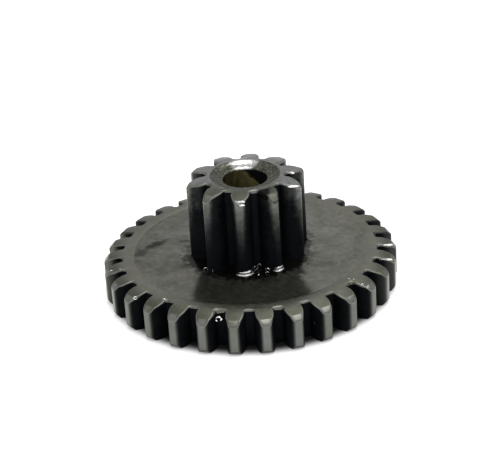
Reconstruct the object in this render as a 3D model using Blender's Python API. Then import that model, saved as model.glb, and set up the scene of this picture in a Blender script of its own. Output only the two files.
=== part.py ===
"""Double gear: a broad toothed wheel and a smaller, taller pinion in one piece of steel, bored through."""

import math

import bmesh
import bpy

# Tooth form of both gears, in modules where it is a ratio
PRESSURE_ANGLE = math.radians(20.0)
ADDENDUM_RATIO = 1.0
DEDENDUM_RATIO = 1.1
ROOT_FILLET_RATIO = 0.32
TIP_CORNER_RATIO = 0.12
FIRST_TOOTH_ANGLE = math.radians(-90.0)

# Wheel
WHEEL_TEETH = 30
WHEEL_TIP_RADIUS = 0.0128
WHEEL_SHIFT_RATIO = 0.0
WHEEL_TOOTH_SHARE = 0.57
WHEEL_TIP_CHAMFER = 0.00042
WHEEL_END_RELIEF = 0.0002
WHEEL_WIDTH = 0.0034

# Pinion, long addendum as a gear of so few teeth has
PINION_TEETH = 10
PINION_TIP_RADIUS = 0.00514
PINION_SHIFT_RATIO = 0.4
PINION_TOOTH_SHARE = 0.62
PINION_TIP_CHAMFER = 0.00032
PINION_END_RELIEF = 0.00025
PINION_LENGTH = 0.007

# Web, turned a little below the toothed rim
RIM_WIDTH = 0.0008
WEB_STEP_WIDTH = 0.00015
WEB_RECESS = 0.00006

# Bore with its countersink on top and its small chamfer underneath
BORE_RADIUS = 0.0019
COUNTERSINK_TO_ROOTS = 0.0007
COUNTERSINK_DEPTH = 0.0003
FOOT_CHAMFER_WIDTH = 0.00028

# Facet counts
FILLET_STEPS = 3
FLANK_STEPS = 5
ROUND_STEPS = 72
WEB_STEPS = 120

STEEL_COLOUR = (0.115, 0.11, 0.098, 1.0)
STEEL_ROUGHNESS = 0.38
SMOOTH_ANGLE = math.radians(28.0)


def clear_scene():
    for obj in list(bpy.data.objects):
        bpy.data.objects.remove(obj, do_unlink=True)


def involute(angle):
    return math.tan(angle) - angle


def polar(radius, angle):
    return (radius * math.cos(angle), radius * math.sin(angle))


def module_of(teeth, tip_radius, shift):
    return tip_radius / (teeth / 2 + ADDENDUM_RATIO + shift)


def root_radius_of(teeth, tip_radius, shift):
    return module_of(teeth, tip_radius, shift) * (teeth / 2 - DEDENDUM_RATIO + shift)


def half_tooth(teeth, tip_radius, shift, share, chamfer):
    """Points (radius, angle from the tooth's middle) of one side, from the gap up to the tip."""
    module = module_of(teeth, tip_radius, shift)
    root_radius = root_radius_of(teeth, tip_radius, shift)
    base_radius = module * teeth / 2 * math.cos(PRESSURE_ANGLE)
    fillet = ROOT_FILLET_RATIO * module
    corner = TIP_CORNER_RATIO * module
    base_angle = math.pi / teeth * share + involute(PRESSURE_ANGLE)

    def flank(radius):
        return radius, base_angle - involute(math.acos(min(1.0, base_radius / radius)))

    # The fillet touches the root circle and the radial line below the involute.
    centre_radius = root_radius + fillet
    offset = math.asin(fillet / centre_radius)
    centre = polar(centre_radius, base_angle + offset)
    sweep_start = base_angle + offset + math.pi
    sweep = math.pi / 2 - offset
    points = []
    for step in range(FILLET_STEPS + 1):
        turn = sweep_start + sweep * step / FILLET_STEPS
        x = centre[0] + fillet * math.cos(turn)
        y = centre[1] + fillet * math.sin(turn)
        points.append((math.hypot(x, y), math.atan2(y, x)))

    # The involute runs from the base circle to where the tip chamfer starts.
    chamfer_radius = tip_radius - chamfer
    for step in range(FLANK_STEPS):
        rise = (step / (FLANK_STEPS - 1)) ** 1.3
        points.append(flank(base_radius + (chamfer_radius - base_radius) * rise))

    # The tip corner is rounded between the flank and the tip circle.
    below = flank(tip_radius - corner)
    sharp = flank(tip_radius)
    land = (tip_radius, sharp[1] - corner / tip_radius)
    middle = [(a + 2 * b + c) / 4 for a, b, c in zip(polar(*below), polar(*sharp), polar(*land))]
    points += [below, (math.hypot(*middle), math.atan2(middle[1], middle[0])), land]
    return points


def gear_outline(teeth, side):
    """The whole outline as (radius, angle), counter-clockwise."""
    outline = []
    for index in range(teeth):
        centre = FIRST_TOOTH_ANGLE + 2 * math.pi * index / teeth
        outline += [(radius, centre - angle) for radius, angle in side]
        outline += [(radius, centre + angle) for radius, angle in reversed(side)]
    return outline


def end_drop(radius, root_radius, chamfer_radius, relief):
    """How far a gear's end lies below its flat face: tooth tops slope outwards, then a 45 degree chamfer."""
    along = (radius - root_radius) / (chamfer_radius - root_radius)
    return relief * min(1.0, max(0.0, along)) + max(0.0, radius - chamfer_radius)


def add_ring(bm, outline, height, drop=None, inward=0):
    """One ring of points. Where a drop is given, each point lies that far inward of the face's height."""
    ring = []
    for radius, angle in outline:
        fall = drop(radius) if drop else 0.0
        ring.append(bm.verts.new((*polar(radius, angle), height + inward * fall)))
    return ring


def close_tooth_ends(bm, ring, teeth):
    """Strips across each tooth from its root to its tip. Returns the ring that bounds the flat face."""
    count = len(ring) // teeth
    face_ring = []
    for start in range(0, len(ring), count):
        left = ring[start : start + count // 2]
        right = ring[start + count // 2 : start + count][::-1]
        for index in range(len(left) - 1):
            bm.faces.new([left[index], left[index + 1], right[index + 1], right[index]])
        face_ring += [left[0], right[0]]
    return face_ring


def bridge(bm, lower, upper):
    count = len(lower)
    for index in range(count):
        after = (index + 1) % count
        corners = [lower[index], lower[after], upper[after], upper[index]]
        corners = list(dict.fromkeys(corners))
        if len(corners) > 2:
            bm.faces.new(corners)


def fill_between(bm, outer, inner):
    """Flat triangles between two closed rings at one height."""
    edges = []
    for ring in (outer, inner):
        for index, vert in enumerate(ring):
            pair = (vert, ring[(index + 1) % len(ring)])
            edges.append(bm.edges.get(pair) or bm.edges.new(pair))
    bmesh.ops.triangle_fill(bm, use_beauty=True, use_dissolve=False, edges=edges)


def circle(radius, steps):
    return [(radius, 2 * math.pi * index / steps) for index in range(steps)]


def build_gear():
    bm = bmesh.new()

    wheel_blank = (WHEEL_TEETH, WHEEL_TIP_RADIUS, WHEEL_SHIFT_RATIO)
    wheel_root = root_radius_of(*wheel_blank)
    wheel_chamfer = WHEEL_TIP_RADIUS - WHEEL_TIP_CHAMFER
    wheel_side = half_tooth(*wheel_blank, WHEEL_TOOTH_SHARE, WHEEL_TIP_CHAMFER)
    wheel = gear_outline(WHEEL_TEETH, wheel_side)

    def low_drop(radius):
        return end_drop(radius, wheel_root, wheel_chamfer, 0.0)

    def high_drop(radius):
        return end_drop(radius, wheel_root, wheel_chamfer, WHEEL_END_RELIEF)

    low_edge = add_ring(bm, wheel, 0.0, low_drop, 1)
    high_edge = add_ring(bm, wheel, WHEEL_WIDTH, high_drop, -1)
    bridge(bm, low_edge, high_edge)
    low_face = close_tooth_ends(bm, low_edge, WHEEL_TEETH)
    high_face = close_tooth_ends(bm, high_edge, WHEEL_TEETH)

    web_height = WHEEL_WIDTH - WEB_RECESS
    rim_radius = wheel_root - RIM_WIDTH
    rim_ring = add_ring(bm, circle(rim_radius, WEB_STEPS), WHEEL_WIDTH)
    web_ring = add_ring(bm, circle(rim_radius - WEB_STEP_WIDTH, WEB_STEPS), web_height)
    fill_between(bm, high_face, rim_ring)
    bridge(bm, web_ring, rim_ring)

    total_height = WHEEL_WIDTH + PINION_LENGTH
    pinion_blank = (PINION_TEETH, PINION_TIP_RADIUS, PINION_SHIFT_RATIO)
    pinion_root = root_radius_of(*pinion_blank)
    pinion_chamfer = PINION_TIP_RADIUS - PINION_TIP_CHAMFER
    pinion_side = half_tooth(*pinion_blank, PINION_TOOTH_SHARE, PINION_TIP_CHAMFER)
    pinion = gear_outline(PINION_TEETH, pinion_side)

    def crown_drop(radius):
        return end_drop(radius, pinion_root, pinion_chamfer, PINION_END_RELIEF)

    foot_ring = add_ring(bm, pinion, web_height)
    crown_edge = add_ring(bm, pinion, total_height, crown_drop, -1)
    fill_between(bm, web_ring, foot_ring)
    bridge(bm, foot_ring, crown_edge)
    crown_face = close_tooth_ends(bm, crown_edge, PINION_TEETH)

    bore = circle(BORE_RADIUS, ROUND_STEPS)
    mouth_radius = pinion_root - COUNTERSINK_TO_ROOTS
    mouth = add_ring(bm, circle(mouth_radius, ROUND_STEPS), total_height)
    bore_top = add_ring(bm, bore, total_height - COUNTERSINK_DEPTH)
    bore_foot = add_ring(bm, bore, FOOT_CHAMFER_WIDTH)
    foot_mouth = add_ring(bm, circle(BORE_RADIUS + FOOT_CHAMFER_WIDTH, ROUND_STEPS), 0.0)
    fill_between(bm, crown_face, mouth)
    bridge(bm, bore_top, mouth)
    bridge(bm, bore_foot, bore_top)
    bridge(bm, foot_mouth, bore_foot)
    fill_between(bm, low_face, foot_mouth)

    bmesh.ops.recalc_face_normals(bm, faces=bm.faces)
    mesh = bpy.data.meshes.new("double_gear")
    bm.to_mesh(mesh)
    bm.free()
    return mesh


def steel_material():
    material = bpy.data.materials.new("dark_steel")
    material.use_nodes = True
    shader = material.node_tree.nodes["Principled BSDF"]
    shader.inputs["Base Color"].default_value = STEEL_COLOUR
    shader.inputs["Metallic"].default_value = 1.0
    shader.inputs["Roughness"].default_value = STEEL_ROUGHNESS
    return material


clear_scene()
gear_mesh = build_gear()
gear_mesh.materials.append(steel_material())
gear_mesh.polygons.foreach_set("use_smooth", [True] * len(gear_mesh.polygons))
gear_mesh.set_sharp_from_angle(angle=SMOOTH_ANGLE)
bpy.context.scene.collection.objects.link(bpy.data.objects.new("double_gear", gear_mesh))
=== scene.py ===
"""Looks of the double gear: one piece of cut steel on a white table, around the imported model."""

import math

import bmesh
import bpy
from mathutils import Matrix, Vector, noise


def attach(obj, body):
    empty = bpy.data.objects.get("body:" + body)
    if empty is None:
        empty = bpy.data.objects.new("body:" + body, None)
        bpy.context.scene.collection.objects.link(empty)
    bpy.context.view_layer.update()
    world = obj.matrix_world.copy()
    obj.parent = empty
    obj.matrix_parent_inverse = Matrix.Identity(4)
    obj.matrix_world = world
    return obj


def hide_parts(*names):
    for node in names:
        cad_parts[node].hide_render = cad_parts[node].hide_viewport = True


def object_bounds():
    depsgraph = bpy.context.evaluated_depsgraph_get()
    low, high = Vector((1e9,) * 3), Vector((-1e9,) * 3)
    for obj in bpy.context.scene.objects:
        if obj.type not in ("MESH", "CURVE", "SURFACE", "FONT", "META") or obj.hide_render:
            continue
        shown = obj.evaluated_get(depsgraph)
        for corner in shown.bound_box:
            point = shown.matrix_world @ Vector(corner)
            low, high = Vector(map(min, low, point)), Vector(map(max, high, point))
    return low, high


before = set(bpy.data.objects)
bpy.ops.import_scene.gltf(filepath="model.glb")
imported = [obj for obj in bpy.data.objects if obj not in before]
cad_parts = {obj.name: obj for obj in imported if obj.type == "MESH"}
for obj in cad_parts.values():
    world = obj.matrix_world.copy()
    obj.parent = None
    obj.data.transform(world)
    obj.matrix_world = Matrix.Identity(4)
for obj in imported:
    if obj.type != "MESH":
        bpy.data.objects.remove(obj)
cad_box = [list(corner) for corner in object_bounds()]

MM = 0.001
FULL = 2 * math.pi

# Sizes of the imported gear, in millimetres
PRESSURE_ANGLE = math.radians(20.0)
ADDENDUM_RATIO = 1.0
DEDENDUM_RATIO = 1.1
FIRST_TOOTH_ANGLE = math.radians(-90.0)
WHEEL_RADIUS = 12.8
WHEEL_TOP = 3.4
TOTAL_HEIGHT = round(cad_box[1][2] / MM, 3)
WEB_RECESS = 0.06
BORE_RADIUS = 1.9
FOOT_CHAMFER = 0.28

# Teeth as worn. Fillets are in modules, and slim is the angle that a tooth loses at its foot.
# The wheel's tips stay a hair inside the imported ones.
WHEEL = dict(
    teeth=30,
    tip=12.798,
    shift=0.0,
    share=0.57,
    chamfer=0.37,
    corner=0.2,
    sag=0.3,
    fillet=0.25,
    slim=0.009,
)
PINION = dict(
    teeth=10,
    tip=5.14,
    shift=0.4,
    share=0.63,
    chamfer=0.32,
    corner=0.1,
    sag=0.25,
    fillet=0.32,
    slim=0.0,
)

# Mean rounding of the worn edges: the wheel's underside, its upper face and the pinion's end
FOOT_EDGE = 0.07
RIM_EDGE = 0.085
CROWN_EDGE = 0.09

# Rounded step from the rim down to the web, as (outwards from the rim's radius, depth)
RIM_RADIUS = 10.33
RIM_PROFILE = ((0.06, 0.0), (-0.02, 0.01), (-0.14, 0.05), (-0.24, WEB_RECESS))

# Fillet at the pinion's foot, as (outwards from the teeth, height above the web)
HUB_FOOT = ((0.1, 0.0), (0.03, 0.03), (0.0, 0.1))

# Profile of the worn countersink, as (radius, depth)
MOUTH = [
    (3.03, 0.0),
    (2.96, 0.01),
    (2.88, 0.04),
    (2.78, 0.085),
    (2.66, 0.14),
    (2.54, 0.192),
    (2.44, 0.222),
    (2.32, 0.242),
    (2.2, 0.262),
    (2.1, 0.29),
    (2.02, 0.325),
    (1.95, 0.36),
    (1.915, 0.4),
]
MOUTH_ROUGHNESS = 0.05
MOUTH_EDGE = 0.08
BORE_HEIGHTS = (8.0, 5.0, 2.0, FOOT_CHAMFER)

# Pinion teeth with a chamfer of their own: its size and its softness
PINION_WEAR = {1: (0.45, 0.35), 9: (0.4, 0.3), 3: (0.12, 0.05)}
# Bruised edges, as (x, y, reach, extra rounding)
WHEEL_BRUISES = [
    (-1.5, -11.1, 0.7, 0.16),
    (3.6, -10.6, 0.6, 0.1),
    (9.4, -6.5, 0.7, 0.1),
    (11.8, 0.6, 0.9, 0.08),
    (12.1, -1.9, 0.8, 0.08),
    (-6.1, -9.3, 0.4, 0.12),
    (-8.7, -8.7, 0.4, 0.12),
    (-11.2, -4.0, 0.6, 0.08),
]
PINION_BRUISES = [
    (-3.2, -3.2, 1.0, 0.12),
    (2.6, 2.2, 0.9, 0.08),
    (1.9, -3.7, 0.8, 0.26),
    (4.4, -1.9, 0.7, 0.06),
]

# Facet counts. A tooth's fillet has twice its gear's fineness in steps, and its flank three times
WHEEL_FINENESS = 3
PINION_FINENESS = 4
CHAMFER_STEPS = 3
EDGE_STEPS = 5
RIM_STEPS = 180
BORE_STEPS = 144
SHARP_ANGLE = math.radians(35.0)


def wobble(x, y, z, scale, seed=0.0):
    """Smooth noise from -1 to 1."""
    return noise.noise(Vector((x * scale + seed, y * scale - seed, z * scale + 2 * seed)))


# Tooth outline


def involute(angle):
    return math.tan(angle) - angle


def polar(radius, angle):
    return (radius * math.cos(angle), radius * math.sin(angle))


def as_polar(x, y):
    return (math.hypot(x, y), math.atan2(y, x))


def module_of(gear):
    return gear["tip"] / (gear["teeth"] / 2 + ADDENDUM_RATIO + gear["shift"])


def root_radius(gear):
    return module_of(gear) * (gear["teeth"] / 2 - DEDENDUM_RATIO + gear["shift"])


def half_tooth(gear, chamfer, soft, fine):
    """Points (radius, angle) of one side, from gap to tip, and which one starts the chamfer."""
    module = module_of(gear)
    pitch = module * gear["teeth"] / 2
    base = pitch * math.cos(PRESSURE_ANGLE)
    fillet = gear["fillet"] * module
    corner = gear["corner"]
    base_angle = math.pi / gear["teeth"] * gear["share"] + involute(PRESSURE_ANGLE)

    def flank(radius):
        slim = gear["slim"] * max(0.0, (pitch - radius) / (pitch - root_radius(gear)))
        return radius, base_angle - slim - involute(math.acos(min(1.0, base / radius)))

    # The root fillet
    line = flank(base)[1]
    centre_radius = root_radius(gear) + fillet
    offset = math.asin(fillet / centre_radius)
    centre = polar(centre_radius, line + offset)
    points = []
    for step in range(2 * fine + 1):
        turn = line + offset + math.pi + (math.pi / 2 - offset) * step / (2 * fine)
        x, y = polar(fillet, turn)
        points.append(as_polar(centre[0] + x, centre[1] + y))

    # The involute, in closer steps near the foot, then across the start of the chamfer
    start = gear["tip"] - max(chamfer, corner) - soft
    low = max(base, points[-1][0] + 0.02)
    for step in range(3 * fine):
        points.append(flank(low + (start - low) * (step / (3 * fine)) ** 1.3))
    first = len(points)
    for step in range(CHAMFER_STEPS + 1):
        points.append(flank(start + 2 * soft * step / CHAMFER_STEPS))

    # The rounded tip corner and the flat land
    sharp = flank(gear["tip"])
    land = (gear["tip"], sharp[1] - corner / gear["tip"])
    ends = [polar(*p) for p in (flank(gear["tip"] - corner), sharp, land)]
    for t in (0.0, 0.2, 0.4, 0.6, 0.8):
        x, y = ((1 - t) ** 2 * a + 2 * t * (1 - t) * b + t * t * c for a, b, c in zip(*ends))
        points.append(as_polar(x, y))
    flat = gear["tip"] * math.cos(land[1]) / math.cos(land[1] / 3)
    return points + [land, (flat, land[1] / 3)], first


class Outline:
    """A gear's closed outline, with each point's chamfer and the stretches that are tooth tips."""

    def __init__(self, gear, fine, soft=0.05, wear=()):
        self.gear = gear
        self.root = root_radius(gear)
        self.points = []
        self.blocks = []
        self.chamfers = []
        for index in range(gear["teeth"]):
            chamfer, blend = dict(wear).get(index, (gear["chamfer"], soft))
            side, first = half_tooth(gear, chamfer, blend, fine)
            centre = FIRST_TOOTH_ANGLE + FULL * index / gear["teeth"]
            begin = len(self.points)
            count = 2 * len(side)
            self.points += [polar(radius, centre - angle) for radius, angle in side]
            self.points += [polar(radius, centre + angle) for radius, angle in reversed(side)]
            self.blocks.append((begin + first, begin + count - 1 - first))
            self.chamfers += [(chamfer, blend)] * count
        self.normals = [self.normal(index) for index in range(len(self.points))]

    def normal(self, index):
        """Inward, and as long as an offset of one unit needs."""
        (ax, ay), (x, y) = self.points[index - 1], self.points[index]
        bx, by = self.points[(index + 1) % len(self.points)]
        first = Vector((ay - y, x - ax)).normalized()
        second = Vector((y - by, bx - x)).normalized()
        middle = first + second
        return middle / max(0.6, middle.dot(first))


# Surfaces, built ring by ring

# The gear's materials, in this order
WEB, RIM, TOOTH, CHAMFER, HUB, HUB_CHAMFER, CROWN, EDGE, HUB_EDGE, CONE, BORE, UNDER = range(12)


def add_face(bm, corners, material, way=1):
    corners = list(dict.fromkeys(corners))
    if len(corners) > 2:
        face = bm.faces.new(corners if way > 0 else corners[::-1])
        face.material_index = material
        face.smooth = True


def stitch(bm, lower, upper, material, way=1):
    count = len(lower)
    for index in range(count):
        after = (index + 1) % count
        add_face(bm, [lower[index], lower[after], upper[after], upper[index]], material, way)


def fill_between(bm, outer, inner, material):
    edges = []
    for ring in (outer, inner):
        for index, vert in enumerate(ring):
            pair = (vert, ring[(index + 1) % len(ring)])
            edges.append(bm.edges.get(pair) or bm.edges.new(pair))
    made = bmesh.ops.triangle_fill(bm, use_beauty=True, use_dissolve=False, edges=edges)
    for item in made["geom"]:
        if isinstance(item, bmesh.types.BMFace):
            item.material_index = material
            item.smooth = True


def round_ring(bm, radius, height, steps, rough=0.0, seed=0.0):
    ring = []
    for index in range(steps):
        x, y = polar(1.0, FULL * index / steps)
        shift = rough * wobble(x * radius, y * radius, height, 2.3, seed)
        drop = 0.6 * rough * wobble(x * radius, y * radius, height, 4.1, seed + 5)
        ring.append(bm.verts.new((x * (radius + shift), y * (radius + shift), height + drop)))
    return ring


class Crown:
    """One end of a gear: worn edges, sagging tooth ends and tip chamfers, up to the flat face."""

    def __init__(self, bm, outline, height, way, edge, seed, slots, sag=True, bruises=()):
        self.bm = bm
        self.outline = outline
        self.height = height
        self.way = way
        self.sag = outline.gear["sag"] if sag else 0.0
        top, chamfer, rounding = slots
        radii = [self.rounding(x, y, edge, seed, bruises) for x, y in outline.points]
        rings = []
        for step in range(EDGE_STEPS + 1):
            turn = math.pi / 2 * step / EDGE_STEPS
            ring = []
            for index, (x, y) in enumerate(outline.points):
                inset = outline.normals[index] * radii[index] * (1 - math.cos(turn))
                drop = radii[index] * (1 - math.sin(turn))
                ring.append(self.point(x + inset.x, y + inset.y, index, drop))
            rings.append(ring)
        self.wall = rings[0]
        for lower, upper in zip(rings, rings[1:]):
            stitch(bm, lower, upper, rounding, way)
        self.cap = rings[-1]
        self.rows = {}
        for first, last in outline.blocks:
            self.cap_tooth(first, last, top, chamfer)

    def rounding(self, x, y, edge, seed, bruises):
        """Radius of the worn edge at one point: uneven, larger in the gaps and at bruises."""
        worn = 0.5 + 0.5 * wobble(x, y, 0, 0.9, seed)
        fine = 0.5 + 0.5 * wobble(x, y, 0, 3.1, seed + 9)
        gap = max(0.0, 1.0 - (math.hypot(x, y) - self.outline.root) / 0.5)
        extra = sum(
            more * math.exp(-((x - bx) ** 2 + (y - by) ** 2) / reach**2)
            for bx, by, reach, more in bruises
        )
        return edge * (0.55 + 0.6 * worn + 0.45 * fine) * (1 + 0.8 * gap) + extra

    def point(self, x, y, index, drop):
        """A vertex on the sagging end, with the chamfer blended in."""
        chamfer, soft = self.outline.chamfers[index]
        radius = math.hypot(x, y)
        root = self.outline.root
        start = self.outline.gear["tip"] - chamfer
        along = (radius - root) / (start - root)
        drop += self.sag * min(1.0, max(0.0, along)) ** 1.4
        past = radius - start
        if past > soft:
            drop += past
        elif past > -soft:
            drop += (past + soft) ** 2 / (4 * soft)
        return self.bm.verts.new((x, y, self.height - self.way * drop))

    def cap_tooth(self, first, last, top, chamfer):
        """Rows of faces over one tooth's chamfer. The first row joins the flat face."""
        crest = self.cap[first + CHAMFER_STEPS : last - CHAMFER_STEPS + 1]
        rows = []
        for step in range(CHAMFER_STEPS):
            left = self.cap[first + step]
            right = self.cap[last - step]
            row = [left]
            for column in range(1, len(crest) - 1):
                share = column / (len(crest) - 1)
                radius = left.co.xy.length * (1 - share) + right.co.xy.length * share
                flat = left.co.xy.lerp(right.co.xy, share).normalized() * radius
                row.append(self.point(flat.x, flat.y, first + step, 0.0))
            rows.append(row + [right])
        rows.append(crest)
        materials = [top] + [chamfer] * (CHAMFER_STEPS - 1)
        for lower, upper, material in zip(rows, rows[1:], materials):
            for a, b in zip(zip(lower, lower[1:]), zip(upper, upper[1:])):
                add_face(self.bm, [*a, *reversed(b)], material, self.way)
        self.rows[first] = (last, rows[0])

    def face_loop(self):
        """The loop round the flat face: the outline, with a straight row across each tooth."""
        loop = []
        index = 0
        while index < len(self.cap):
            if index in self.rows:
                last, row = self.rows[index]
                loop += row
                index = last + 1
            else:
                loop.append(self.cap[index])
                index += 1
        return loop


# The gear


def build_wheel(bm):
    """The wheel up to the web's outer edge. Returns the underside's loop and the web's ring."""
    outline = Outline(WHEEL, WHEEL_FINENESS)
    low = Crown(bm, outline, 0.0, -1, FOOT_EDGE, 3.0, (UNDER, UNDER, UNDER), sag=False)
    slots = (RIM, CHAMFER, EDGE)
    top = Crown(bm, outline, WHEEL_TOP, 1, RIM_EDGE, 7.0, slots, bruises=WHEEL_BRUISES)
    stitch(bm, low.wall, top.wall, TOOTH)
    rings = []
    for out, drop in RIM_PROFILE:
        rings.append(round_ring(bm, RIM_RADIUS + out, WHEEL_TOP - drop, RIM_STEPS))
    fill_between(bm, top.face_loop(), rings[0], RIM)
    for outer, inner in zip(rings, rings[1:]):
        stitch(bm, inner, outer, RIM)
    return low.face_loop(), rings[-1]


def build_pinion(bm, web_ring):
    """The pinion and the web round it. Returns the loop round its end's flat face."""
    outline = Outline(PINION, PINION_FINENESS, wear=PINION_WEAR)
    slots = (CROWN, HUB_CHAMFER, HUB_EDGE)
    top = Crown(bm, outline, TOTAL_HEIGHT, 1, CROWN_EDGE, 11.0, slots, bruises=PINION_BRUISES)
    feet = []
    for out, rise in HUB_FOOT:
        level = WHEEL_TOP - WEB_RECESS + rise
        foot = []
        for (x, y), normal in zip(outline.points, outline.normals):
            foot.append(bm.verts.new((x - normal.x * out, y - normal.y * out, level)))
        feet.append(foot)
    fill_between(bm, web_ring, feet[0], WEB)
    for lower, upper in zip(feet, feet[1:] + [top.wall]):
        stitch(bm, lower, upper, HUB)
    return top.face_loop()


def build_bore(bm, top_loop, low_loop):
    """The bore and its countersink, worn to a soft mouth and steeper at the bore's edge."""
    rings = []
    for number, (radius, drop) in enumerate(MOUTH):
        rough = MOUTH_ROUGHNESS if 2 < number < len(MOUTH) - 2 else 0.0
        seed = 2 + number / 12
        rings.append(round_ring(bm, radius, TOTAL_HEIGHT - drop, BORE_STEPS, rough, seed))
    bore_top = TOTAL_HEIGHT - MOUTH[-1][1] - MOUTH_EDGE
    rings.append(round_ring(bm, BORE_RADIUS, bore_top, BORE_STEPS))
    fill_between(bm, top_loop, rings[0], CROWN)
    for upper, lower in zip(rings, rings[1:]):
        stitch(bm, lower, upper, CONE)
    wall = [rings[-1]]
    for height in BORE_HEIGHTS:
        wall.append(round_ring(bm, BORE_RADIUS, height, BORE_STEPS))
    wall.append(round_ring(bm, BORE_RADIUS + FOOT_CHAMFER, 0.0, BORE_STEPS))
    for upper, lower in zip(wall, wall[1:]):
        stitch(bm, lower, upper, BORE)
    fill_between(bm, low_loop, wall[-1], UNDER)


def build_gear():
    bm = bmesh.new()
    low_loop, web_ring = build_wheel(bm)
    build_bore(bm, build_pinion(bm, web_ring), low_loop)
    bmesh.ops.recalc_face_normals(bm, faces=bm.faces)
    bmesh.ops.scale(bm, vec=(MM, MM, MM), verts=bm.verts)
    return bm


def to_object(bm, name, materials):
    mesh = bpy.data.meshes.new(name)
    bm.to_mesh(mesh)
    bm.free()
    for material in materials:
        mesh.materials.append(material)
    mesh.set_sharp_from_angle(angle=SHARP_ANGLE)
    obj = bpy.data.objects.new(name, mesh)
    bpy.context.scene.collection.objects.link(obj)
    return obj


# Burrs left by the cutter: bare metal pushed over at the pinion's foot, and small upright curls

PLAIN, FOLDED = range(2)
FOOT = WHEEL_TOP - WEB_RECESS - 0.03
# Height of the foot, width, height, then points along the ridge
RIDGES = [
    (
        FOOT,
        0.16,
        0.42,
        [
            (-0.58, -4.7),
            (-0.4, -5.02),
            (-0.05, -5.14),
            (0.3, -5.13),
            (0.58, -4.9),
            (0.8, -4.4),
            (0.98, -3.85),
            (1.06, -3.4),
        ],
    ),
    (
        FOOT,
        0.13,
        0.15,
        [
            (-0.72, -4.75),
            (-0.46, -5.12),
            (-0.05, -5.26),
            (0.34, -5.24),
            (0.69, -4.98),
            (0.94, -4.45),
            (1.12, -3.85),
            (1.2, -3.4),
        ],
    ),
    (FOOT, 0.16, 0.38, [(2.5, -4.1), (2.78, -4.26), (3.06, -4.14), (3.3, -3.65)]),
    (FOOT, 0.13, 0.14, [(2.48, -4.25), (2.8, -4.42), (3.12, -4.28), (3.38, -3.78)]),
    (FOOT, 0.1, 0.12, [(1.2, -4.6), (1.36, -4.85), (1.3, -5.1)]),
    (10.08, 0.1, 0.15, [(3.45, -1.8), (3.8, -1.96), (4.3, -1.97), (4.8, -1.8)]),
    (10.22, 0.15, 0.16, [(3.65, 0.36), (3.9, 0.38), (4.2, 0.48)]),
    (9.86, 0.1, 0.1, [(-0.1, -4.97), (0.2, -5.07), (0.52, -4.98)]),
    (10.08, 0.1, 0.12, [(-0.12, -4.86), (0.2, -4.8), (0.52, -4.86)]),
    (3.17, 0.1, 0.14, [(11.15, 0.4), (11.8, 0.57), (12.45, 0.72)]),
    (3.13, 0.1, 0.14, [(11.4, -1.98), (12.0, -1.97), (12.5, -1.93)]),
]
RIDGE_STEPS = 40
RIDGE_SECTION = [
    (-0.5, 0),
    (-0.44, 0.5),
    (-0.26, 0.88),
    (0, 1),
    (0.26, 0.88),
    (0.44, 0.5),
    (0.5, 0),
]
# (x, y, z) of the middle, radius, first and last angle in degrees, thickness
CURLS = [
    (1.28, -3.85, 3.6, 0.15, -60, 250, 0.07),
    (2.05, -4.66, 3.6, 0.16, -40, 215, 0.07),
    (2.03, -4.75, 3.34, 0.14, 20, 330, 0.06),
    (-3.3, -4.2, 3.42, 0.16, -80, 270, 0.07),
    (-2.75, -4.5, 3.42, 0.11, -100, 80, 0.06),
    (-1.38, -11.28, 2.6, 0.26, -10, 170, 0.1),
    (-1.12, -11.32, 2.62, 0.06, 0, 300, 0.15),
    (-1.58, -11.35, 2.5, 0.08, -60, 170, 0.1),
    (-11.5, -4.1, 3.16, 0.1, 0, 330, 0.06),
    (-10.75, -4.1, 3.3, 0.08, 0, 330, 0.06),
    (-8.65, -8.7, 3.14, 0.13, 0, 340, 0.07),
    (-6.1, -9.4, 3.34, 0.12, -20, 250, 0.08),
    (8.98, -5.95, 3.36, 0.13, 0, 340, 0.06),
    (9.36, -5.97, 3.35, 0.12, 0, 340, 0.06),
    (10.13, -6.54, 3.26, 0.09, 0, 340, 0.05),
    (10.6, -6.76, 3.18, 0.1, 0, 340, 0.05),
    (6.43, -9.97, 1.5, 0.12, 10, 170, 0.05),
]
CURL_STEPS = 18
CURL_CORNERS = 6


def on_curve(points, share):
    """Point and direction on a smooth curve through the points."""
    last = len(points) - 1
    place = min(share * last, last - 0.001)
    index = int(place)
    t = place - index
    a, b, c, d = (Vector(points[min(max(index + k, 0), last)]) for k in (-1, 0, 1, 2))
    rise = (c - a) / 2
    bend = a - 2.5 * b + 2 * c - d / 2
    twist = 1.5 * (b - c) + (d - a) / 2
    spot = b + rise * t + bend * t * t + twist * t**3
    slope = rise + 2 * bend * t + 3 * twist * t * t
    return spot, slope.normalized()


def ridge_ring(bm, number, foot, width, height, points, share):
    """One section across a ridge, its width and height a little uneven."""
    (x, y), slope = on_curve(points, share)
    swell = max(0.05, math.sin(math.pi * share**1.4)) ** 0.4
    wide = width * swell * (0.8 + 0.4 * share + 0.2 * wobble(share * 5, number, 0, 1.0, 4.0))
    tall = height * swell * (1 + 0.25 * wobble(share * 7, number, 3, 1.0, 7.0))
    ring = []
    for out, up in RIDGE_SECTION:
        spot = (x + slope.y * out * wide, y - slope.x * out * wide, foot + up * tall)
        ring.append(bm.verts.new(spot))
    return ring


def curl_ring(bm, middle, bend, angle, swell):
    """One section across a curl, which bends in an upright plane."""
    x, y, z = middle
    ring = []
    for corner in range(CURL_CORNERS):
        out, deep = polar(swell / 2, FULL * corner / CURL_CORNERS)
        aside, above = polar(bend + out, angle)
        ring.append(bm.verts.new((x + aside, y - deep, z + above)))
    return ring


def close_sliver(bm, rings, material):
    for lower, upper in zip(rings, rings[1:]):
        stitch(bm, lower, upper, material)
    add_face(bm, rings[0], material, -1)
    add_face(bm, rings[-1], material)


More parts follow.
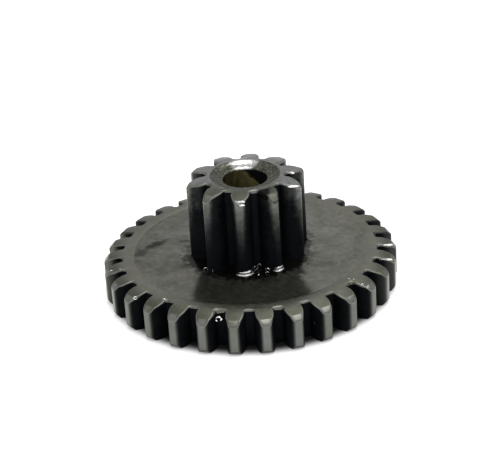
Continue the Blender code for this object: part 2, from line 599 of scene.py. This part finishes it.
def build_burrs():
    """Closed slivers, thick in the middle and pointed at both ends."""
    bm = bmesh.new()
    for number, (foot, width, height, points) in enumerate(RIDGES):
        rings = []
        for step in range(RIDGE_STEPS + 1):
            share = step / RIDGE_STEPS
            rings.append(ridge_ring(bm, number, foot, width, height, points, share))
        close_sliver(bm, rings, FOLDED if foot == FOOT else PLAIN)
    for x, y, z, bend, first, last, thick in CURLS:
        rings = []
        for step in range(CURL_STEPS + 1):
            share = step / CURL_STEPS
            angle = math.radians(first + (last - first) * share)
            swell = thick * max(0.15, math.sin(math.pi * share) ** 0.5)
            rings.append(curl_ring(bm, (x, y, z), bend, angle, swell))
        close_sliver(bm, rings, PLAIN)
    bmesh.ops.recalc_face_normals(bm, faces=bm.faces)
    bmesh.ops.scale(bm, vec=(MM, MM, MM), verts=bm.verts)
    return bm


# Materials


class Nodes:
    """Short calls for a material's nodes. Coordinates are object coordinates in millimetres."""

    def __init__(self, name, metallic=1.0):
        self.material = bpy.data.materials.new(name)
        self.material.use_nodes = True
        self.tree = self.material.node_tree
        self.shader = self.tree.nodes["Principled BSDF"]
        self.shader.inputs["Metallic"].default_value = metallic
        coords = self.new("ShaderNodeTexCoord").outputs["Object"]
        self.place = self.vector("SCALE", coords, 3, 1 / MM)
        self.spots = self.new("ShaderNodeSeparateXYZ", {0: self.place}).outputs

    def new(self, kind, inputs=(), **settings):
        node = self.tree.nodes.new(kind)
        for key, value in settings.items():
            setattr(node, key, value)
        for key, value in dict(inputs).items():
            if hasattr(value, "is_output"):
                self.tree.links.new(value, node.inputs[key])
            else:
                node.inputs[key].default_value = value
        return node

    def feed(self, name, value):
        self.tree.links.new(value, self.shader.inputs[name])

    def vector(self, operation, a, slot, b):
        node = self.new("ShaderNodeVectorMath", {0: a, slot: b}, operation=operation)
        return node.outputs["Value" if operation == "LENGTH" else "Vector"]

    def noise(self, scale, detail=3.0, rough=0.55, distortion=0.0, stretch=(1.0, 1.0, 1.0)):
        place = self.place
        if stretch != (1.0, 1.0, 1.0):
            place = self.vector("MULTIPLY", place, 1, stretch)
        inputs = {"Vector": place, "Scale": scale, "Detail": detail, "Roughness": rough}
        inputs["Distortion"] = distortion
        return self.new("ShaderNodeTexNoise", inputs).outputs["Fac"]

    def math(self, operation, a, b=0.0, c=0.0):
        return self.new("ShaderNodeMath", {0: a, 1: b, 2: c}, operation=operation).outputs[0]

    def remap(self, value, low, high, to_low=0.0, to_high=1.0, smooth=False):
        inputs = {"Value": value, 1: low, 2: high, 3: to_low, 4: to_high}
        kind = "SMOOTHSTEP" if smooth else "LINEAR"
        return self.new("ShaderNodeMapRange", inputs, interpolation_type=kind).outputs[0]

    def mix(self, share, a, b):
        node = self.new("ShaderNodeMix", data_type="RGBA")
        for index, value in ((0, share), (6, a), (7, b)):
            if hasattr(value, "is_output"):
                self.tree.links.new(value, node.inputs[index])
            else:
                node.inputs[index].default_value = value
        return node.outputs[2]

    def blot(self, centre, size, turn, reach=1.0, ragged=1.4, grain=1.6):
        """Soft stain: 1 in its middle, 0 outside, with a ragged edge."""
        spot = self.vector("SUBTRACT", self.place, 1, (*centre, 0.0))
        spin = self.new(
            "ShaderNodeVectorRotate", {"Vector": spot, "Angle": -math.radians(turn)}
        ).outputs[0]
        flat = self.vector("MULTIPLY", spin, 1, (1 / size[0], 1 / size[1], 0.0))
        far = self.vector("LENGTH", flat, 1, (0.0, 0.0, 0.0))
        edge = self.math("MULTIPLY", self.noise(grain, 5.0, 0.65), ragged)
        middle = 0.5 * ragged
        total = self.math("ADD", far, edge)
        return self.remap(total, middle + 0.35, middle + 1.05, reach, 0.0, True)

    def radius(self):
        flat = self.vector("MULTIPLY", self.place, 1, (1.0, 1.0, 0.0))
        return self.vector("LENGTH", flat, 1, (0.0, 0.0, 0.0))

    def beside_tooth(self, teeth):
        """Distance from the nearest tooth's middle plane."""
        pitch = FULL / teeth
        angle = self.math("ARCTAN2", self.spots["Y"], self.spots["X"])
        phase = self.math("SUBTRACT", angle, FIRST_TOOTH_ANGLE)
        wrapped = self.math("WRAP", phase, pitch / 2, -pitch / 2)
        return self.math("ABSOLUTE", self.math("MULTIPLY", wrapped, self.radius()))

    def oiled(self, colour):
        """The front right pinion tooth: black on its left half, a dull darker tint on its right."""
        x = self.math("ADD", self.spots["X"], self.remap(self.noise(2.5), 0.3, 0.7, -0.1, 0.1))
        side = self.math("MULTIPLY", self.remap(x, 1.0, 1.3), self.remap(x, 2.6, 2.3))
        out = self.remap(self.radius(), 3.42, 3.6)
        front = self.math("MULTIPLY", out, self.remap(self.spots["Y"], -2.0, -2.3))
        dull = self.math("MULTIPLY", self.remap(x, 2.2, 2.6, 0.0, 0.8), front)
        colour = self.mix(dull, colour, tint(0.06, OLIVE))
        return self.mix(self.math("MULTIPLY", side, front), colour, tint(0.006, WARM))

    def bumps(self, *layers):
        """Layers of (height, strength, depth in millimetres)."""
        normal = None
        for height, strength, depth in layers:
            inputs = {"Height": height, "Strength": strength, "Distance": depth * MM}
            if normal is not None:
                inputs["Normal"] = normal
            normal = self.new("ShaderNodeBump", inputs).outputs[0]
        self.feed("Normal", normal)


def tint(level, shade):
    return tuple(level * part for part in shade) + (1.0,)


# Shades, as factors on red, green and blue
NEUTRAL = (1.0, 1.0, 0.98)
WARM = (1.03, 1.0, 0.9)
OLIVE = (0.96, 1.0, 0.78)
COOL = (0.95, 1.0, 0.98)
BLUE = (0.7, 0.95, 1.15)
GOLD_LIGHT = (1.15, 1.0, 0.42)


def steel(name, dark, light, shades, rough, patch=0.45, grain=0.012, metallic=1.0):
    """Cut steel: cloudy oxide patches, fine grain, and roughness that follows both."""
    n = Nodes(name, metallic)
    n.clouds = n.noise(2.1, 3.0, 0.6)
    n.fine = n.noise(14.0, 4.0, 0.7)
    tone = n.math("MULTIPLY", n.noise(patch, 4.0, 0.6, 0.4), 0.5)
    tone = n.math("ADD", tone, n.math("MULTIPLY", n.clouds, 0.32))
    tone = n.math("ADD", tone, n.math("MULTIPLY", n.fine, 0.18))
    n.tone = n.remap(tone, 0.38, 0.62)
    n.base = n.mix(n.tone, tint(dark, shades[0]), tint(light, shades[1]))
    n.feed("Base Color", n.base)
    n.feed("Roughness", n.remap(n.clouds, 0.3, 0.7, rough - 0.05, rough + 0.06))
    n.bumps((n.clouds, 0.2, grain * 2), (n.fine, 0.3, grain))
    return n


def web_steel():
    """The turned web, stained in places, with painted light on its right side and painted black
    shade round the pinion's foot.
    """
    n = steel("web_steel", 0.1, 0.195, (OLIVE, WARM), 0.16, 0.8, metallic=0.9)
    stains = [
        ((-8.35, 0.5), (1.6, 0.66), 45, 1.0),
        ((-9.4, -1.1), (1.15, 0.75), 60, 0.8),
        ((-9.55, -2.7), (0.7, 0.5), 0, 0.5),
        ((-6.0, 1.2), (0.7, 0.3), 10, 0.6),
        ((-5.5, 0.2), (0.8, 0.35), -20, 0.6),
        ((-5.3, -1.9), (0.5, 0.7), 10, 0.5),
        ((-5.3, -3.6), (0.5, 0.6), 10, 0.5),
        ((4.9, 2.6), (0.5, 1.3), 35, 0.75),
        ((5.1, 0.9), (0.6, 1.0), 10, 0.6),
        ((5.4, -1.2), (1.0, 0.5), 20, 0.45),
        ((6.6, -3.2), (1.6, 0.5), 10, 0.3),
        ((-2.0, 8.0), (2.5, 0.8), 10, 0.3),
    ]
    # Painted light: the web's colour grows lighter towards the right, as if lit from that side.
    lit_side_colour = n.mix(n.tone, tint(0.13, OLIVE), tint(0.235, WARM))
    colour = n.mix(n.remap(n.spots["X"], -3.0, 3.0), n.base, lit_side_colour)
    for centre, size, turn, reach in stains:
        blot = n.blot(centre, size, turn, reach, 1.7, 2.3)
        colour = n.mix(blot, colour, tint(0.02, OLIVE))
    # Painted shade: near black where the web meets the pinion, reaching further out at the front.
    ring = n.math("ADD", n.radius(), n.remap(n.clouds, 0.3, 0.7, -0.5, 0.5))
    reach = n.remap(n.spots["Y"], 1.0, -2.5, 0.0, 0.7)
    foot = n.remap(n.math("SUBTRACT", ring, reach), 5.6, 4.8, 0.0, 0.9, True)
    n.feed("Base Color", n.mix(foot, colour, tint(0.012, OLIVE)))
    rings = n.math("SINE", n.math("MULTIPLY", n.radius(), 60.0))
    n.bumps((rings, 0.04, 0.004), (n.clouds, 0.08, 0.02), (n.fine, 0.2, 0.01))
    return n.material


def tooth_side(name, teeth, tip, bare, light):
    """Sides of the teeth: bare turned metal across the middle of the tips, painted black shade on
    the flanks and in the gaps.
    """
    n = steel(name, light[0], light[1], (OLIVE, COOL), 0.27)
    n.across = n.beside_tooth(teeth)
    # Only the middle of each tip, near the tip radius, shows the metal; painted shade covers the
    # rest.
    n.mask = n.remap(n.across, bare[0], bare[1], 0.0, 1.0, True)
    n.mask = n.math("MULTIPLY", n.mask, n.remap(n.radius(), tip - 0.4, tip - 0.1, 0.0, 1.0, True))
    n.shader.inputs["Specular IOR Level"].default_value = 0.045
    # Painted shade: near black for the flanks and the gaps between the teeth.
    n.oil = n.mix(n.tone, tint(0.002, BLUE), tint(0.007, BLUE))
    lines = n.noise(3.0, 2.0, 0.5, stretch=(0.4, 0.4, 5.0))
    n.bumps((lines, 0.2, 0.01), (n.fine, 0.3, 0.01))
    return n


def wheel_side():
    """The wheel's teeth at the far left and right: a painted reflection on their flanks, brighter
    on the left.
    """
    n = tooth_side("wheel_teeth", WHEEL["teeth"], WHEEL_RADIUS, (0.53, 0.2), (0.112, 0.14))
    # Painted reflection: lighter flanks near the tips of the teeth at the far left and right, more
    # so on the left.
    aside = n.remap(n.math("ABSOLUTE", n.spots["X"]), 10.8, 12.4)
    flank_sheen = n.math("MULTIPLY", aside, n.remap(n.radius(), 11.6, 12.3, 0.0, 0.8, True))
    n.feed("Metallic", n.math("MAXIMUM", n.mask, flank_sheen))
    dull = n.mix(n.remap(n.spots["X"], -1.0, 1.0), tint(0.13, OLIVE), tint(0.04, NEUTRAL))
    n.feed("Base Color", n.mix(n.mask, n.mix(flank_sheen, n.oil, dull), n.base))
    n.feed("Roughness", n.remap(n.math("MAXIMUM", n.mask, flank_sheen), 0.0, 1.0, 0.6, 0.27))
    return n.material


def hub_side():
    """Pinion tips: metal near the top, painted black shade towards the web, and a painted
    reflection on the flanks at the sides.
    """
    n = tooth_side("pinion_teeth", PINION["teeth"], PINION["tip"], (0.6, 0.15), (0.095, 0.125))
    # Painted reflection and shade: the tip's metal fades out downwards, where the dark web would be
    # mirrored.
    height = n.math("ADD", n.spots["Z"], n.remap(n.clouds, 0.3, 0.7, -0.4, 0.4))
    worn = n.math("POWER", n.remap(height, 4.6, 9.6), 1.8)
    wide = n.remap(height, 4.0, 9.6, 0.3, 0.62)
    near = n.remap(n.math("SUBTRACT", n.across, wide), 0.0, -0.35, 0.0, 1.0, True)
    outer = n.remap(n.radius(), 4.4, 5.0, 0.0, 1.0, True)
    bare = n.math("MULTIPLY", n.math("MULTIPLY", near, outer), worn)
    # Painted reflection: lighter upper flanks at the left and right.
    flank_sheen = n.remap(n.math("ADD", height, n.remap(n.tone, 0.0, 1.0, -1.6, 1.6)), 7.6, 10.4)
    flank_sheen = n.math("MULTIPLY", flank_sheen, n.remap(n.radius(), 3.7, 4.5))
    aside = n.math("ABSOLUTE", n.spots["X"])
    flank_sheen = n.math("MULTIPLY", flank_sheen, n.remap(aside, 2.2, 3.8, 0.15, 1.0))
    n.feed("Metallic", n.math("MAXIMUM", bare, n.math("MULTIPLY", flank_sheen, 0.35)))
    dull = n.mix(flank_sheen, n.oil, tint(0.035, COOL))
    n.feed("Base Color", n.mix(bare, dull, n.base))
    n.feed("Roughness", n.remap(n.math("MAXIMUM", bare, flank_sheen), 0.0, 1.0, 0.48, 0.25))
    return n.material


def rim_steel():
    """The flat rim, duller at the front and on the tooth ends."""
    n = steel("rim_steel", 0.135, 0.175, (OLIVE, OLIVE), 0.42, grain=0.02)
    bare = n.remap(n.spots["Y"], -10.7, -9.0, 0.0, 0.8, True)
    base = n.mix(bare, n.base, n.mix(n.tone, tint(0.16, OLIVE), tint(0.21, WARM)))
    out = n.remap(n.radius(), 10.9, 12.1, 0.0, 0.85, True)
    n.feed("Base Color", n.mix(out, base, tint(0.088, OLIVE)))
    return n.material


def chamfer_steel():
    """The wheel's tip chamfers, with a painted highlight across the middle of each."""
    n = steel("chamfer_steel", 0.175, 0.25, (OLIVE, NEUTRAL), 0.24)
    # Painted highlight: the chamfer is brighter across the middle of each tooth.
    middle = n.remap(n.beside_tooth(WHEEL["teeth"]), 0.48, 0.2, 0.0, 1.0, True)
    n.feed("Base Color", n.mix(middle, tint(0.1, OLIVE), n.base))
    return n.material


def crown_steel():
    """The pinion's end: bare at the sides and back, duller and yellower on the front teeth."""
    n = steel("crown_steel", 0.22, 0.31, (COOL, NEUTRAL), 0.36)
    front = n.remap(n.math("ADD", n.spots["Y"], n.remap(n.clouds, 0.3, 0.7, -0.6, 0.6)), -1.2, -3.2)
    n.feed("Base Color", n.oiled(n.mix(front, n.base, tint(0.124, OLIVE))))
    return n.material


def edge_steel():
    """Worn edges, made dark towards the back by painted shade."""
    n = steel("edge_steel", 0.15, 0.21, (OLIVE, NEUTRAL), 0.42)
    # Painted shade: the edges darken towards the back.
    back = n.remap(n.math("ADD", n.spots["Y"], n.clouds), 0.5, 4.0, 0.0, 0.9)
    n.feed("Base Color", n.mix(back, n.base, tint(0.02, NEUTRAL)))
    return n.material


def hub_edge(name, dark, light, rough):
    """The pinion's worn edges and tip chamfers."""
    n = steel(name, dark, light, (OLIVE, NEUTRAL), rough)
    n.feed("Base Color", n.oiled(n.base))
    return n.material


def cone_steel():
    """Countersink: pitted and dull, with a painted highlight at the back where the lamp's highlight
    falls.
    """
    n = steel("cone_steel", 0.7, 0.9, (NEUTRAL, NEUTRAL), 0.18, 1.5, 0.01)
    pits = n.remap(n.noise(5.0, 4.0, 0.7), 0.46, 0.54)
    # Painted highlight: near-white, smooth metal only in the patch where the lamp is mirrored.
    bare = n.blot((-0.35, 2.5), (1.45, 0.95), 14, 1.0, 0.9, 3.2)
    dull = n.mix(pits, tint(0.045, OLIVE), tint(0.145, OLIVE))
    n.feed("Base Color", n.mix(bare, dull, n.base))
    n.feed("Roughness", n.remap(bare, 0.0, 1.0, 0.36, 0.17))
    n.bumps((pits, 0.15, 0.015), (n.fine, 0.25, 0.01))
    return n.material


def folded_steel():
    """Fresh metal like the other burrs, with a band of painted shade low on it."""
    n = steel("folded_steel", 0.8, 0.95, (NEUTRAL, NEUTRAL), 0.2)
    # Painted shade: a dark band about 0.2 mm above the foot.
    crease_shade = n.math("ABSOLUTE", n.math("SUBTRACT", n.spots["Z"], FOOT + 0.21))
    n.feed("Base Color", n.mix(n.remap(crease_shade, 0.08, 0.04), n.base, tint(0.02, OLIVE)))
    return n.material


def bore_steel():
    """Painted black shade inside, and a painted patch of gold light on the back wall, below a
    slanting shadow edge.
    """
    # Painted shade: near black inside the bore.
    n = steel("bore_steel", 0.003, 0.008, (COOL, COOL), 0.4, metallic=0.0)
    n.shader.inputs["Specular IOR Level"].default_value = 0.08
    # Painted light: a gold patch on the back wall, up to a slanting shadow edge.
    slant = n.math("ADD", n.spots["Z"], n.math("MULTIPLY", n.spots["X"], 0.83))
    slant = n.math("ADD", slant, n.remap(n.clouds, 0.3, 0.7, -0.2, 0.2))
    lit_below_edge = n.remap(slant, 9.75, 9.35, 0.0, 1.0, True)
    back = n.math("MULTIPLY", lit_below_edge, n.remap(n.spots["Y"], 0.2, 0.9, 0.0, 1.0, True))
    streak = n.noise(1.6, 3.0, 0.6, stretch=(1.0, 1.0, 0.5))
    across = n.math("ADD", n.spots["X"], n.remap(streak, 0.3, 0.7, -0.5, 0.5))
    lit_patch = n.mix(n.remap(across, -1.3, 1.4), tint(0.035, GOLD_LIGHT), tint(0.19, GOLD_LIGHT))
    n.feed("Base Color", n.mix(back, n.base, lit_patch))
    return n.material


def gear_materials():
    """In the order of WEB to UNDER."""
    return [
        web_steel(),
        rim_steel(),
        wheel_side(),
        chamfer_steel(),
        hub_side(),
        hub_edge("hub_chamfer_steel", 0.19, 0.25, 0.34),
        crown_steel(),
        edge_steel(),
        hub_edge("hub_edge_steel", 0.15, 0.22, 0.38),
        cone_steel(),
        bore_steel(),
        # Painted shade: the underside, its edge rounding and chamfer are dark, as in the table's
        # shadow.
        steel("under_steel", 0.05, 0.09, (WARM, NEUTRAL), 0.4).material,
    ]


def burr_materials():
    """In the order of PLAIN and FOLDED."""
    return [steel("burr_steel", 0.8, 0.95, (NEUTRAL, NEUTRAL), 0.2).material, folded_steel()]


gear = to_object(build_gear(), "double_gear_finish", gear_materials())
burrs = to_object(build_burrs(), "cutter_burrs", burr_materials())
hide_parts("double_gear")
for piece in (gear, burrs):
    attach(piece, "root")


# Table, light and camera

# In metres
TABLE_RADIUS = 3.0
# In millimetres from the bore: where the table's painted shadow fades to pale, and from unlit to
# white
TABLE_SHADOW_FADE = (11.5, 12.7)
TABLE_WHITE = (11.9, 13.3)


def white_table():
    """White to the camera away from the gear, with a painted dark shadow under it so that the tooth
    gaps look deep.
    """
    n = Nodes("white_table", 0.0)
    path = n.new("ShaderNodeLightPath").outputs
    seen = n.math("MAXIMUM", path["Is Camera Ray"], path["Is Glossy Ray"])
    seen = n.math("MAXIMUM", seen, path["Is Transmission Ray"])
    # Painted shadow: the table is near black under the gear and in the tooth gaps.
    unshadowed = n.remap(n.radius(), *TABLE_SHADOW_FADE, 0.0, 1.0, True)
    pale = (0.85, 0.85, 0.85, 1.0)
    n.feed("Base Color", n.mix(unshadowed, tint(0.03, NEUTRAL), pale))
    n.shader.inputs["Roughness"].default_value = 0.9
    n.shader.inputs["Specular IOR Level"].default_value = 0.0
    n.shader.inputs["Emission Color"].default_value = (1.0, 1.0, 1.0, 1.0)
    far = n.remap(n.radius(), *TABLE_WHITE, 0.0, 0.6, True)
    n.feed("Emission Strength", n.math("MULTIPLY", seen, far))
    return n.material


bm = bmesh.new()
bmesh.ops.create_circle(bm, cap_ends=True, radius=TABLE_RADIUS, segments=64)
to_object(bm, "table", [white_table()])


def studio_world(front, back):
    """Soft light all round, stronger or weaker from front to back, and white to the camera."""
    world = bpy.data.worlds.new("studio")
    bpy.context.scene.world = world
    world.use_nodes = True
    tree = world.node_tree
    add, link = tree.nodes.new, tree.links.new
    parts = add("ShaderNodeSeparateXYZ")
    link(add("ShaderNodeTexCoord").outputs["Generated"], parts.inputs[0])
    dome = add("ShaderNodeMapRange")
    dome.inputs["From Min"].default_value = -0.6
    dome.inputs["From Max"].default_value = 0.6
    dome.inputs["To Min"].default_value = front
    dome.inputs["To Max"].default_value = back
    link(parts.outputs["Y"], dome.inputs["Value"])
    seen = add("ShaderNodeMapRange")
    seen.inputs["To Max"].default_value = 1.0
    link(dome.outputs[0], seen.inputs["To Min"])
    link(add("ShaderNodeLightPath").outputs["Is Camera Ray"], seen.inputs["Value"])
    link(seen.outputs[0], tree.nodes["Background"].inputs["Strength"])
    tree.nodes["Background"].inputs["Color"].default_value = (1.0, 1.0, 1.0, 1.0)


studio_world(0.75, 0.6)
# The gear stands turned on the table, so lamps and camera go round it by this angle
TURN = 0.138
turned = Matrix.Rotation(TURN, 3, "Z")


def soft_lamp(name, direction, along, size, radiance, distance=0.4):
    """Rectangular lamp of a given brightness, its long side along the second direction."""
    light = bpy.data.lights.new(name, "AREA")
    light.shape = "RECTANGLE"
    light.size, light.size_y = size
    light.energy = radiance * math.pi * size[0] * size[1]
    obj = bpy.data.objects.new(name, light)
    bpy.context.scene.collection.objects.link(obj)
    back = (turned @ Vector(direction)).normalized()
    side = turned @ Vector(along)
    side = (side - back * side.dot(back)).normalized()
    axes = Matrix((side, back.cross(side), back)).transposed()
    spot = back * distance + Vector((0, 0, TOTAL_HEIGHT * MM))
    obj.matrix_world = Matrix.Translation(spot) @ axes.to_4x4()


soft_lamp("softbox", (0.27, -0.06, 0.95), (1.0, 0.0, 0.0), (0.34, 0.34), 1.5)
soft_lamp("spark", (0.18, 0.33, 0.92), (0.75, 0.4, -0.35), (0.25, 0.1), 3.2, 0.38)

# The photograph's perspective: angles in radians, distance in metres, the rest in pixels
PITCH = 0.4674
ROLL = 0.0644
DISTANCE = 10.93 * WHEEL_RADIUS * MM
FOCAL = 1602.0
CENTRE_X = 249.452
CENTRE_Y = 246.66
PHOTO_WIDTH = 488
PHOTO_HEIGHT = 457
# In millimetres, as the lens is
SENSOR_WIDTH = 36.0


def photo_camera():
    """The bore's axis crosses the wheel's upper face at CENTRE_X, CENTRE_Y of the picture."""
    level = Vector((0, math.sin(PITCH), math.cos(PITCH)))
    cam_x = Vector((1, 0, 0)) * math.cos(ROLL) - level * math.sin(ROLL)
    cam_y = Vector((1, 0, 0)) * math.sin(ROLL) + level * math.cos(ROLL)
    cam_z = Vector((0, -math.cos(PITCH), math.sin(PITCH)))
    aside = DISTANCE * (CENTRE_X - PHOTO_WIDTH / 2) / FOCAL
    above = -DISTANCE * (CENTRE_Y - PHOTO_HEIGHT / 2) / FOCAL
    spot = cam_z * DISTANCE - cam_x * aside - cam_y * above
    data = bpy.data.cameras.new("camera")
    data.sensor_width = SENSOR_WIDTH
    data.lens = FOCAL * SENSOR_WIDTH / PHOTO_WIDTH
    data.clip_start = 0.01
    data.clip_end = 10.0
    camera = bpy.data.objects.new("camera", data)
    bpy.context.scene.collection.objects.link(camera)
    axes = turned @ Matrix((cam_x, cam_y, cam_z)).transposed()
    spot = turned @ spot + Vector((0, 0, WHEEL_TOP * MM))
    camera.matrix_world = Matrix.Translation(spot) @ axes.to_4x4()
    return camera


bpy.context.scene.camera = photo_camera()
bpy.context.scene.view_settings.view_transform = "Standard"
